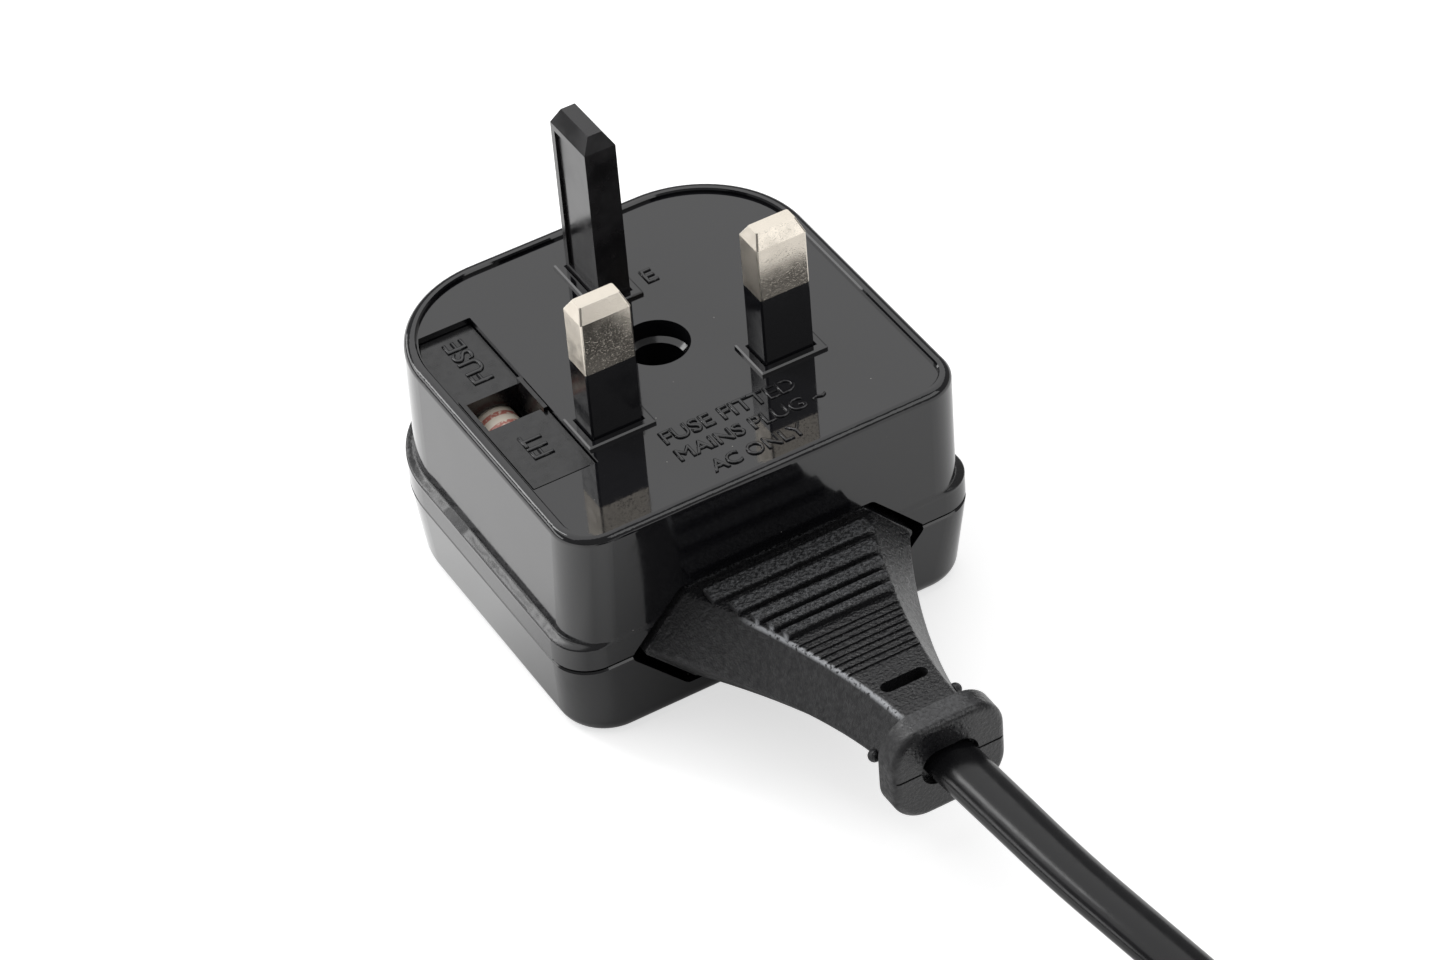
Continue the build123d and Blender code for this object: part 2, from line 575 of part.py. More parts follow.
front_clip_y = FUSE_NEAR + FUSE_CAP - STRIP_WIDTH / 2 - CLIP_FIT
rear_clip_y = FUSE_FAR - FUSE_CAP + STRIP_WIDTH / 2 + CLIP_FIT
with BuildPart() as fuse_clip:
    with BuildSketch(Plane.XZ.offset(-front_clip_y - STRIP_WIDTH / 2)):
        add(clip_profile())
    extrude(amount=STRIP_WIDTH)
    with BuildSketch(Plane.XY.offset(STRIP_Z)):
        with Locations(((FUSE_X + clip_inner - LINE_X + LINE_PIN[0] / 2) / 2, front_clip_y)):
            Rectangle(LINE_PIN[0] / 2 - LINE_X - FUSE_X - clip_inner, STRIP_WIDTH)
    extrude(amount=-STRIP)
save(fuse_clip, "fuse_clip")

with BuildPart() as live_contact:
    with BuildSketch(Plane.XZ.offset(-rear_clip_y - STRIP_WIDTH / 2)):
        add(clip_profile())
    extrude(amount=STRIP_WIDTH)
    with BuildSketch(Plane.XZ.offset(-SOCKET_FAR)):
        add(socket_profile(-1))
    extrude(amount=SOCKET_FAR - SOCKET_NEAR)
    strip_near = min(SOCKET_FAR - STRIP_WIDTH, rear_clip_y - STRIP_WIDTH / 2)
    strip_far = max(SOCKET_FAR, rear_clip_y + STRIP_WIDTH / 2)
    strip_right = -PLUG_PIN_X - socket_outer + STRIP
    with BuildSketch(Plane.XY.offset(STRIP_Z)):
        with Locations(((FUSE_X + clip_inner + strip_right) / 2, (strip_near + strip_far) / 2)):
            Rectangle(strip_right - FUSE_X - clip_inner, strip_far - strip_near)
    extrude(amount=-STRIP)
save(live_contact, "live_contact")

with BuildPart() as neutral_contact:
    with BuildSketch(Plane.XZ.offset(-SOCKET_FAR)):
        add(socket_profile(1))
    extrude(amount=SOCKET_FAR - SOCKET_NEAR)
    with BuildSketch(Plane.XY.offset(STRIP_Z)):
        with Locations((LINE_X, (SOCKET_FAR - LINE_PIN[1] / 2) / 2)):
            Rectangle(STRIP_WIDTH, SOCKET_FAR + LINE_PIN[1] / 2)
    extrude(amount=-STRIP)
save(neutral_contact, "neutral_contact")

# Two-pin plug: six-sided body, hollow-sided tail with ribs and grooves, end collar
with BuildPart() as plug_body:
    with BuildSketch(cordward(-PLUG_FACE_Y)):
        add(PLUG_SECTION)
    extrude(amount=PLUG_FACE_Y + BODY_FRONT)
    for section in range(TAIL_SECTIONS):
        along = TAIL_LENGTH * section / (TAIL_SECTIONS - 1)
        with BuildSketch(tail_plane(along)):
            add(hexagon(*tail_size(along), PLUG_EDGE))
    loft()
    rib_start = RIB_FIRST
    for width, gap in zip(RIB_WIDTHS, RIB_GAPS + (0,)):
        _, half_top, rise, half_bottom, drop = tail_size(rib_start + width)
        middle = tail_plane(rib_start + width / 2).origin
        for side, half_length, foot in ((1, half_top, rise), (-1, half_bottom - RIB_INSET, drop)):
            height = foot + RIB_HEIGHT
            with BuildSketch(Plane.YZ):
                with Locations((middle.Y, middle.Z + side * height / 2)):
                    bar = Rectangle(width, height)
                fillet(bar.vertices().sort_by(Axis.Y, reverse=side < 0)[-2:], RIB_EDGE)
            extrude(amount=half_length, both=True)
        rib_start += width + gap
    with BuildSketch(tail_plane(TAIL_LENGTH)):
        RectangleRounded(COLLAR[0], COLLAR[1], COLLAR_CORNER)
    extrude(amount=COLLAR[2])
    fillet(plug_body.faces().sort_by(Axis.Y)[0].edges(), COLLAR_EDGE)
    with BuildSketch(tail_plane(TAIL_LENGTH + COLLAR[2])):
        Rectangle(COLLAR[0], COLLAR_SEAM[0])
    extrude(amount=-COLLAR_SEAM[1], mode=Mode.SUBTRACT)
    for groove in range(GROOVE_COUNT):
        along = GROOVE_FIRST + groove * GROOVE_PITCH
        _, half_top, rise, half_bottom, drop = tail_size(along)
        with BuildSketch(tail_plane(along)):
            with Locations((0, rise)):
                Rectangle(2 * half_top, 2 * GROOVE[1])
            with Locations((0, -drop)):
                Rectangle(2 * half_bottom, 2 * GROOVE[1])
        extrude(amount=GROOVE[0], mode=Mode.SUBTRACT)
    slot_middle = tail_plane(WINDOW_SLOT_AT).origin
    for side, foot in ((1, tail_size(WINDOW_SLOT_AT)[2]), (-1, tail_size(WINDOW_SLOT_AT)[4])):
        with BuildSketch(Plane.XY.offset(slot_middle.Z + side * (foot + RIB_HEIGHT))):
            with Locations((0, slot_middle.Y)):
                SlotOverall(WINDOW_SLOT[0], WINDOW_SLOT[1])
        extrude(amount=-side * (WINDOW_SLOT[2] + RIB_HEIGHT), mode=Mode.SUBTRACT)
    for side, along in NIB_PLACES:
        nib = tail_plane(along).origin
        with Locations((side * tail_size(along)[0], nib.Y, nib.Z)):
            Sphere(NIB_R)
    with BuildSketch(tail_plane(TAIL_LENGTH + COLLAR[2])):
        RectangleRounded(CORD_MOUTH[0], CORD_MOUTH[1], CORD_MOUTH[1] / 2.1)
    extrude(amount=-CORD_MOUTH[2], mode=Mode.SUBTRACT)
    with BuildSketch(cordward(-PLUG_FACE_Y)):
        with Locations((-PLUG_PIN_X, 0), (PLUG_PIN_X, 0)):
            Circle(PLUG_PIN_CORE_D / 2)
    extrude(amount=PLUG_PIN_DEPTH, mode=Mode.SUBTRACT)
save(plug_body, "plug_body")

# The plug's round pins, solid at the tip and sleeved next to the body
for name, side in (("plug_pin_live", -1), ("plug_pin_neutral", 1)):
    with BuildPart() as plug_pin:
        with BuildSketch(cordward(PLUG_PIN_DEPTH - PLUG_FACE_Y)):
            with Locations((side * PLUG_PIN_X, 0)):
                Circle(PLUG_PIN_CORE_D / 2)
        extrude(amount=-PLUG_PIN_DEPTH - PLUG_SLEEVE_LENGTH)
        with BuildSketch(cordward(-PLUG_FACE_Y - PLUG_SLEEVE_LENGTH)):
            with Locations((side * PLUG_PIN_X, 0)):
                Circle(PLUG_PIN_D / 2)
        extrude(amount=PLUG_SLEEVE_LENGTH - PLUG_PIN_LENGTH)
        fillet(plug_pin.faces().sort_by(Axis.Y)[-1].edges(), PLUG_PIN_D / 3)
    save(plug_pin, name)

with BuildPart() as plug_pin_sleeves:
    with BuildSketch(cordward(-PLUG_FACE_Y)):
        with Locations((-PLUG_PIN_X, 0), (PLUG_PIN_X, 0)):
            Circle(PLUG_SLEEVE_D / 2)
            Circle(PLUG_PIN_CORE_D / 2, mode=Mode.SUBTRACT)
    extrude(amount=-PLUG_SLEEVE_LENGTH)
save(plug_pin_sleeves, "plug_pin_sleeves")

# Lead from the plug's mouth down to the coil: straight runs joined by arcs as large as they allow
route = [Vector(*point) for point in CORD_ROUTE]
bends = []
for before, corner, after in zip(route, route[1:], route[2:]):
    turn = radians((corner - before).get_angle(after - corner))
    shorter = min((corner - before).length, (after - corner).length)
    bends.append(0.45 * shorter / tan(turn / 2))
print("bend radii of the lead, mm:", [round(bend) for bend in bends])
with BuildPart() as lead:
    with BuildLine() as lead_path:
        FilletPolyline(*route, radius=bends)
    with BuildSketch(Plane(origin=route[0], x_dir=(1, 0, 0), z_dir=lead_path.line % 0)):
        RectangleRounded(CORD_WIDTH, CORD_THICK, CORD_THICK / 2.05)
    sweep(path=lead_path.line)
section_area = CORD_WIDTH * CORD_THICK - (4 - pi) * (CORD_THICK / 2.05) ** 2
swept_volume = section_area * lead_path.wires()[0].length
print("lead volume over section times length:", round(lead.part.volume / swept_volume, 4))
save(lead, "lead")

# Coil of the unseen length, as one ring, and the strap that ties it
with BuildPart() as lead_coil:
    with BuildSketch(Plane.XZ.offset(-COIL_CENTRE[1])):
        with Locations((COIL_CENTRE[0] + COIL_MEAN_R, (COIL_FLOOR_Z + COIL_TOP_Z) / 2)):
            bundle = Rectangle(COIL_RADIAL, COIL_TOP_Z - COIL_FLOOR_Z)
        chamfer(bundle.vertices(), COIL_EDGE)
    revolve(axis=Axis((*COIL_CENTRE, 0), (0, 0, 1)))
save(lead_coil, "lead_coil")

tie_plane = Plane(origin=(*COIL_CENTRE, 0)).rotated((0, 0, TIE_ANGLE))
with BuildPart() as coil_tie:
    tie_inner_r = sqrt(COIL_INNER_R**2 - (TIE_WIDTH / 2) ** 2) - TIE_FIT
    tie_outer_r = COIL_OUTER_R + TIE_FIT
    tie_opening = (tie_outer_r - tie_inner_r, COIL_TOP_Z - COIL_FLOOR_Z + 2 * TIE_FIT)
    tie_middle = ((tie_inner_r + tie_outer_r) / 2, (COIL_FLOOR_Z + COIL_TOP_Z) / 2)
    with BuildSketch(Plane(origin=tie_plane.origin, x_dir=tie_plane.x_dir, z_dir=-tie_plane.y_dir)):
        with Locations(tie_middle):
            RectangleRounded(tie_opening[0] + 2 * TIE_THICK, tie_opening[1] + 2 * TIE_THICK, COIL_EDGE)
            RectangleRounded(tie_opening[0], tie_opening[1], COIL_EDGE - TIE_THICK, mode=Mode.SUBTRACT)
    extrude(amount=TIE_WIDTH / 2, both=True)
save(coil_tie, "coil_tie")

# Appliance connector: figure-eight nose, grip and tapered relief, lying on the coil's top
connector_z = COIL_TOP_Z + GRIP[1] / 2
around = Plane(origin=(*COIL_CENTRE, connector_z)).rotated((0, 0, CONNECTOR_ANGLE))
connector_start = around.origin + around.x_dir * (COIL_MEAN_R - COIL_PITCH) - around.y_dir * RELIEF[2]
grip_plane = Plane(origin=connector_start, x_dir=around.x_dir, z_dir=-around.y_dir)
with BuildPart() as appliance_connector:
    with BuildSketch(grip_plane):
        RectangleRounded(GRIP[0], GRIP[1], GRIP_CORNER)
    extrude(amount=GRIP[2])
    fillet(appliance_connector.edges().filter_by(GeomType.LINE, reverse=True), GRIP_CORNER / 4)
    with BuildSketch(grip_plane.offset(GRIP[2])):
        with Locations((-SOCKET_PITCH / 2, 0), (SOCKET_PITCH / 2, 0)):
            Circle(NOSE_LOBE_R)
        Rectangle(SOCKET_PITCH, NOSE_WAIST)
    extrude(amount=NOSE_LENGTH)
    with BuildSketch(grip_plane):
        RectangleRounded(RELIEF[0], RELIEF[1], RELIEF[1] / 2.2)
    with BuildSketch(grip_plane.offset(-RELIEF[2])):
        RectangleRounded(RELIEF_END[0], RELIEF_END[1], RELIEF_END[1] / 2.2)
    loft()
    with BuildSketch(grip_plane.offset(GRIP[2] + NOSE_LENGTH)):
        with Locations((-SOCKET_PITCH / 2, 0), (SOCKET_PITCH / 2, 0)):
            Circle(SOCKET_D / 2 + SOCKET_SHELL)
    extrude(amount=-SOCKET_DEPTH, mode=Mode.SUBTRACT)
save(appliance_connector, "appliance_connector")

with BuildPart() as connector_sockets:
    with BuildSketch(grip_plane.offset(GRIP[2] + NOSE_LENGTH - SOCKET_DEPTH)):
        with Locations((-SOCKET_PITCH / 2, 0), (SOCKET_PITCH / 2, 0)):
            Circle(SOCKET_D / 2 + SOCKET_SHELL)
            Circle(SOCKET_D / 2, mode=Mode.SUBTRACT)
    extrude(amount=SOCKET_DEPTH - 4 * SOCKET_SHELL)
save(connector_sockets, "connector_sockets")
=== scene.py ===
from math import cos, pi, radians, sin

import bpy
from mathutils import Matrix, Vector


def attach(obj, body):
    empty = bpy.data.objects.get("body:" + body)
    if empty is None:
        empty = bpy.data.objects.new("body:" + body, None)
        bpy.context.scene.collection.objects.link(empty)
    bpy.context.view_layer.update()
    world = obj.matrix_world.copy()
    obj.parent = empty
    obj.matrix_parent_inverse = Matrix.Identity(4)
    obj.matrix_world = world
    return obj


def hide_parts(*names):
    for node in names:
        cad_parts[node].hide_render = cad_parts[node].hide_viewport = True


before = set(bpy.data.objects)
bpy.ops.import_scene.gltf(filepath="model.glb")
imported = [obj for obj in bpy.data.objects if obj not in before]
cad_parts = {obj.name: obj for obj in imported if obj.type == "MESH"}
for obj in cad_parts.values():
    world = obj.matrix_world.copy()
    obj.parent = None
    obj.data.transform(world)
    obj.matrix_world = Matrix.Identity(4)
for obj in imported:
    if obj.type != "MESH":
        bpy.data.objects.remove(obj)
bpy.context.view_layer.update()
scene = bpy.context.scene
scene.view_settings.view_transform = "Standard"
MM = 0.001

# Camera, at the photograph's viewing angle
camera_data = bpy.data.cameras.new("camera")
camera_data.sensor_fit = "HORIZONTAL"
camera_data.sensor_width = 36.0
camera_data.lens = 125.17
camera = bpy.data.objects.new("camera", camera_data)
camera.location = (-0.190935, -0.378909, 0.391568)
camera.rotation_euler = (0.843253, 0.066825, -0.530007)
scene.collection.objects.link(camera)
scene.camera = camera


# Small helpers
def add_object(name, data, body="adapter"):
    piece = bpy.data.objects.new(name, data)
    scene.collection.objects.link(piece)
    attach(piece, body)
    return piece


def new_material(name, colour, roughness, **sockets):
    made = bpy.data.materials.new(name)
    made.use_nodes = True
    shader = made.node_tree.nodes["Principled BSDF"]
    shader.inputs["Base Color"].default_value = (*colour, 1.0)
    shader.inputs["Roughness"].default_value = roughness
    for socket, value in sockets.items():
        shader.inputs[socket.replace("_", " ")].default_value = value
    return made


def node(made, kind, **settings):
    new = made.node_tree.nodes.new(kind)
    for setting, value in settings.items():
        setattr(new, setting, value)
    return new


def link(made, source, target):
    made.node_tree.links.new(source, target)


def shade(made, value, socket):
    link(made, value, made.node_tree.nodes["Principled BSDF"].inputs[socket])


def noise(made, scale, detail, roughness=0.5):
    """A noise pattern in the part's own metres; scale is per metre."""
    place = node(made, "ShaderNodeTexCoord")
    pattern = node(made, "ShaderNodeTexNoise")
    pattern.inputs["Scale"].default_value = scale
    pattern.inputs["Detail"].default_value = detail
    pattern.inputs["Roughness"].default_value = roughness
    link(made, place.outputs["Object"], pattern.inputs["Vector"])
    return pattern.outputs["Fac"]


def along(made, axis, kind="Object"):
    """One axis of the place on the part, in metres, or, with Normal as kind, of its facing."""
    place = node(made, "ShaderNodeTexCoord")
    split = node(made, "ShaderNodeSeparateXYZ")
    link(made, place.outputs[kind], split.inputs["Vector"])
    return split.outputs[axis]


def spread(made, value, low, high, to_low, to_high):
    """Stretch the part of a pattern between low and high to a new range, and hold it there."""
    mapped = node(made, "ShaderNodeMapRange")
    mapped.inputs["From Min"].default_value = low
    mapped.inputs["From Max"].default_value = high
    mapped.inputs["To Min"].default_value = to_low
    mapped.inputs["To Max"].default_value = to_high
    link(made, value, mapped.inputs["Value"])
    return mapped.outputs["Result"]


def combine(made, operation, first, second):
    """A Math node on two values; the second may be a plain number."""
    result = node(made, "ShaderNodeMath", operation=operation)
    link(made, first, result.inputs[0])
    if isinstance(second, float):
        result.inputs[1].default_value = second
    else:
        link(made, second, result.inputs[1])
    return result.outputs["Value"]


def times(made, first, second):
    return combine(made, "MULTIPLY", first, second)


def size_of(made, value):
    """A value without its sign."""
    size = node(made, "ShaderNodeMath", operation="ABSOLUTE")
    link(made, value, size.inputs[0])
    return size.outputs["Value"]


def apart(made, first, second):
    """How far one value is from another."""
    return size_of(made, combine(made, "SUBTRACT", first, second))


def bump(made, height, strength, distance):
    relief = node(made, "ShaderNodeBump")
    relief.inputs["Strength"].default_value = strength
    relief.inputs["Distance"].default_value = distance
    link(made, height, relief.inputs["Height"])
    shade(made, relief.outputs["Normal"], "Normal")


def tint(made, share, *colours):
    """Base colour from the first colour to the second, by a share from 0 to 1."""
    ramp = node(made, "ShaderNodeValToRGB")
    for stop, colour in zip(ramp.color_ramp.elements, colours):
        stop.color = (*colour, 1.0)
    link(made, share, ramp.inputs["Fac"])
    shade(made, ramp.outputs["Color"], "Base Color")


def specks(made, scale, reach, share):
    """Scattered dots: a cell pattern's middles, soft at the rim, in a share of the cells."""
    place = node(made, "ShaderNodeTexCoord")
    cells = node(made, "ShaderNodeTexVoronoi")
    cells.inputs["Scale"].default_value = scale
    link(made, place.outputs["Object"], cells.inputs["Vector"])
    dot = spread(made, cells.outputs["Distance"], reach * 0.6, reach, 1.0, 0.0)
    split = node(made, "ShaderNodeSeparateColor")
    link(made, cells.outputs["Color"], split.inputs["Color"])
    kept = spread(made, split.outputs["Red"], share, share + 0.01, 1.0, 0.0)
    return times(made, dot, kept)


# Polished black moulding: nearly mirror-like, with faint sink ripples and dust.
# The walls are a little softer than the pin face, and the flange's ledge is hazy and wavy.
# Places on the part are in metres here and in the other materials.
GLOSS, DUST = (0.007, 0.007, 0.0085), (0.35, 0.34, 0.32)
LEDGE_Z = 0.0142
WALL_TOP, FACE_LOW = 0.0272, 0.0285
gloss_black = new_material("gloss_black", GLOSS, 0.06, IOR=1.59)
ledge = apart(gloss_black, along(gloss_black, "Z"), LEDGE_Z)
polish = spread(gloss_black, noise(gloss_black, 900, 4), 0.45, 0.75, 0.04, 0.1)
haze = spread(gloss_black, ledge, 0.0003, 0.0005, 0.2, 0.0)
walls = spread(gloss_black, along(gloss_black, "Z"), WALL_TOP, FACE_LOW, 0.05, 0.0)
dulled = combine(gloss_black, "MAXIMUM", haze, walls)
shade(gloss_black, combine(gloss_black, "ADD", polish, dulled), "Roughness")
on_ledge = spread(gloss_black, ledge, 0.0003, 0.0006, 1.2, 0.0)
ripples = times(gloss_black, on_ledge, noise(gloss_black, 380, 2))
bump(gloss_black, combine(gloss_black, "ADD", noise(gloss_black, 110, 1), ripples), 0.2, 0.0001)
tint(gloss_black, specks(gloss_black, 420, 0.035, 0.3), GLOSS, DUST)

# The fuse carrier's moulding, a little duller
dull_black = new_material("dull_black", (0.008, 0.008, 0.009), 0.25, IOR=1.55)
shade(dull_black, spread(dull_black, noise(dull_black, 900, 4), 0.4, 0.7, 0.2, 0.3), "Roughness")
bump(dull_black, noise(dull_black, 500, 2), 0.15, 0.0001)

# Flexible plug moulding with a fine eroded grain, rougher on the live pin's side
# The second colour is whitish: wear and scuffs, and the highlights painted on the tail's edge and rib
# tops
RUBBER, WORN_AND_LIT = (0.011, 0.011, 0.0125), (0.42, 0.43, 0.45)
grained_black = new_material("grained_black", RUBBER, 0.3, IOR=1.56)
grain = noise(grained_black, 2400, 2, 0.6)
rougher = spread(grained_black, along(grained_black, "X", "Normal"), -0.7, -0.3, 2.0, 1.0)
satin = spread(grained_black, noise(grained_black, 1500, 2), 0.35, 0.7, 0.24, 0.36)
shade(grained_black, times(grained_black, satin, rougher), "Roughness")

# The tail's upper edge on that side: share runs from 0 at the collar to 1 at the housing
COLLAR_Y, HOUSING_Y = -0.0489, -0.0162
EDGE_X, EDGE_Z = (-0.0034, -0.0120), (0.0188, 0.0168)
NARROWING = 1.65
share = spread(grained_black, along(grained_black, "Y"), COLLAR_Y, HOUSING_Y, 0.0, 1.0)
narrowing = combine(grained_black, "POWER", share, NARROWING)
edge_x = spread(grained_black, narrowing, 0.0, 1.0, *EDGE_X)
edge_z = spread(grained_black, share, 0.0, 1.0, *EDGE_Z)

# Whitish wear with a painted highlight on it, speckled, along that edge between the collar and the ribs
beside = apart(grained_black, along(grained_black, "X"), edge_x)
above = apart(grained_black, along(grained_black, "Z"), edge_z)
wear_and_glint = spread(grained_black, noise(grained_black, 2200, 3), 0.35, 0.46, 0.0, 1.0)
wear_and_glint = times(grained_black, wear_and_glint, spread(grained_black, beside, 0.0001, 0.0003, 1.0, 0.0))
wear_and_glint = times(grained_black, wear_and_glint, spread(grained_black, above, 0.0005, 0.0009, 1.0, 0.0))
wear_and_glint = times(grained_black, wear_and_glint, spread(grained_black, share, 0.70, 0.78, 1.0, 0.0))
wear_and_glint = times(grained_black, wear_and_glint, spread(grained_black, share, 0.01, 0.05, 0.0, 1.0))

# Deeper grain on the ribs and a smoother collar; the rib tops get scuffs and a painted highlight, more
# of it towards the housing
proud = combine(grained_black, "SUBTRACT", along(grained_black, "Z"), edge_z)
ribs = spread(grained_black, proud, 0.0003, 0.0008, 0.0, 1.0)
on_tail = spread(grained_black, share, 0.4, 0.5, 0.0, 1.0)
depth = spread(grained_black, times(grained_black, ribs, on_tail), 0.0, 1.0, 0.55, 1.1)
depth = times(grained_black, depth, spread(grained_black, share, 0.0, 0.08, 0.4, 1.0))
bump(grained_black, times(grained_black, grain, depth), 1.0, 0.0004)
# Rib tops painted whitish: partly scuffs, partly a painted highlight, stronger towards the housing to
# lift the shade of its wall
scuffs_and_highlight = times(grained_black, ribs, spread(grained_black, share, 0.45, 0.8, 0.11, 0.24))
scuffs_and_highlight = times(grained_black, scuffs_and_highlight, spread(grained_black, grain, 0.42, 0.62, 0.15, 1.0))
# Base colour whitish where worn or scuffed and where a highlight is painted
tint(grained_black, combine(grained_black, "MAXIMUM", wear_and_glint, scuffs_and_highlight), RUBBER, WORN_AND_LIT)

# Satin black of the sleeves
satin_black = new_material("satin_black", (0.01, 0.01, 0.012), 0.2)
shade(satin_black, spread(satin_black, noise(satin_black, 900, 3), 0.4, 0.7, 0.15, 0.24), "Roughness")

# The earth pin's moulding, cloudy from handling
EARTH, CLOUD = (0.012, 0.0115, 0.0125), (0.026, 0.025, 0.027)
cloudy_black = new_material("cloudy_black", EARTH, 0.2)
cloud = spread(cloudy_black, noise(cloudy_black, 260, 3), 0.35, 0.65, 0.0, 1.0)
tint(cloudy_black, cloud, EARTH, CLOUD)
shade(cloudy_black, spread(cloudy_black, cloud, 0.0, 1.0, 0.14, 0.26), "Roughness")

# Nickel plate: warm, a little dull, rougher on its sheared sides, with dark pits that crowd towards the
# sleeve, so the pins are darker there
PLATE, PIT = (0.69, 0.635, 0.555), (0.38, 0.35, 0.30)
PITTED_LOW, PITTED_HIGH = 0.0385, 0.0455
nickel = new_material("nickel", PLATE, 0.2, Metallic=1.0)
sideways = size_of(nickel, along(nickel, "X", "Normal"))
sheared = spread(nickel, sideways, 0.5, 0.8, 1.0, 2.6)
plate_polish = spread(nickel, noise(nickel, 700, 3), 0.35, 0.75, 0.13, 0.2)
shade(nickel, times(nickel, plate_polish, sheared), "Roughness")
pits = spread(nickel, noise(nickel, 5200, 2), 0.6, 0.7, 0.0, 1.0)
low_down = spread(nickel, along(nickel, "Z"), PITTED_LOW, PITTED_HIGH, 1.0, 0.03)
pitted = times(nickel, pits, low_down)
tint(nickel, pitted, PLATE, PIT)
bump(nickel, pitted, 0.5, 0.0001)

# Zinc of the screw, and brass of the strips and sockets
zinc = new_material("zinc", (0.45, 0.45, 0.46), 0.35, Metallic=1.0)
shade(zinc, spread(zinc, noise(zinc, 1800, 3), 0.4, 0.7, 0.28, 0.45), "Roughness")
brass = new_material("brass_strip", (0.75, 0.58, 0.30), 0.3, Metallic=1.0)
shade(brass, spread(brass, noise(brass, 1200, 3), 0.4, 0.7, 0.24, 0.4), "Roughness")

# Glazed ceramic of the fuse, with faded printed bands
GLAZE, PRINT = (0.74, 0.66, 0.56), (0.42, 0.07, 0.05)
BAND_PITCH = 0.0009
ceramic = new_material("ceramic", GLAZE, 0.35)
bands = combine(ceramic, "PINGPONG", along(ceramic, "Y"), BAND_PITCH)
stripe = spread(ceramic, bands, 0.0005, 0.0006, 0.0, 1.0)
faded = spread(ceramic, noise(ceramic, 2400, 2), 0.38, 0.5, 0.0, 0.85)
tint(ceramic, times(ceramic, stripe, faded), GLAZE, PRINT)

# Sheath of the lead, smooth with long soft ripples, and the strap round its coil
sheath = new_material("sheath", (0.008, 0.008, 0.009), 0.2, Specular_IOR_Level=0.38)
shade(sheath, spread(sheath, noise(sheath, 700, 3), 0.4, 0.7, 0.18, 0.25), "Roughness")
bump(sheath, noise(sheath, 240, 1), 0.2, 0.0002)
strap = new_material("strap", (0.018, 0.018, 0.02), 0.8)
bump(strap, noise(strap, 3000, 2), 0.6, 0.0003)

FINISHES = {
    "base_housing": gloss_black,
    "back_cover": gloss_black,
    "fuse_carrier": dull_black,
    "plug_body": grained_black,
    "live_pin_sleeve": satin_black,
    "neutral_pin_sleeve": satin_black,
    "plug_pin_sleeves": satin_black,
    "earth_pin": cloudy_black,
    "live_pin": nickel,
    "neutral_pin": nickel,
    "plug_pin_live": nickel,
    "plug_pin_neutral": nickel,
    "fuse_caps": nickel,
    "fuse_clip": brass,
    "live_contact": brass,
    "neutral_contact": brass,
    "connector_sockets": brass,
    "fuse_body": ceramic,
    "closing_screw": zinc,
    "appliance_connector": grained_black,
    "coil_tie": strap,
}
for name, finish in FINISHES.items():
    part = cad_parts[name]
    part.data.materials.clear()
    part.data.materials.append(finish)

# Pale paper floor. Its glow is for the camera, and for reflections, where it is brighter
# behind the part on the live pin's side and dims far out there and close in front.
FLOOR = 3.0
PAPER_WHITE = 0.65
FRONT_Y, FRONT_X = -0.018, -0.012
floor_data = bpy.data.meshes.new("floor")
corners = [(-FLOOR, -FLOOR, 0), (FLOOR, -FLOOR, 0), (FLOOR, FLOOR, 0), (-FLOOR, FLOOR, 0)]
floor_data.from_pydata(corners, [], [(0, 1, 2, 3)])
floor = bpy.data.objects.new("floor", floor_data)
scene.collection.objects.link(floor)
paper = new_material("paper", (0.7, 0.7, 0.7), 0.9)
floor_data.materials.append(paper)
paper_shader = paper.node_tree.nodes["Principled BSDF"]
paper_shader.inputs["Emission Color"].default_value = (1, 1, 1, 1)
rays = node(paper, "ShaderNodeLightPath")
mirrored = combine(paper, "MAXIMUM", rays.outputs["Is Glossy Ray"], rays.outputs["Is Transmission Ray"])
behind = combine(paper, "SUBTRACT", along(paper, "Y"), along(paper, "X"))
glow = times(paper, mirrored, spread(paper, behind, 0.0, 0.05, 0.45, 0.88))
glow = times(paper, glow, spread(paper, along(paper, "X"), -0.4, -0.12, 0.25, 1.0))
ahead = spread(paper, apart(paper, along(paper, "Y"), FRONT_Y), 0.008, 0.028, 0.3, 1.0)
aside = spread(paper, apart(paper, along(paper, "X"), FRONT_X), 0.015, 0.028, 0.0, 1.0)
glow = times(paper, glow, combine(paper, "MAXIMUM", ahead, aside))
seen = spread(paper, rays.outputs["Is Camera Ray"], 0.0, 1.0, 0.0, PAPER_WHITE)
shade(paper, combine(paper, "MAXIMUM", glow, seen), "Emission Strength")


# Soft studio light and plain surroundings
def soft_light(name, place, aim, size, power):
    lamp_data = bpy.data.lights.new(name, "AREA")
    lamp_data.shape = "RECTANGLE"
    lamp_data.size, lamp_data.size_y = size
    lamp_data.energy = power
    lamp = bpy.data.objects.new(name, lamp_data)
    lamp.location = place
    lamp.rotation_euler = (Vector(aim) - Vector(place)).to_track_quat("-Z", "Y").to_euler()
    scene.collection.objects.link(lamp)


soft_light("overhead", (0.1, 1.0, 1.6), (0.1, 1.0, 0), (3.0, 2.4), 24)
soft_light("back_left", (-0.66, 0.66, 0.32), (0, 0, 0.02), (1.4, 0.26), 3.2)
soft_light("back_strip", (-0.52, 0.9, 1.0), (0, -0.05, 0.02), (0.25, 1.0), 4.0)
soft_light("front_key", (0.43, -0.56, 0.58), (0, 0, 0.03), (0.5, 0.5), 1.15)

world = bpy.data.worlds.new("surroundings")
scene.world = world
world.use_nodes = True
sky = world.node_tree.nodes["Background"]
sky.inputs["Color"].default_value = (1, 1, 1, 1)
sky.inputs["Strength"].default_value = 0.25

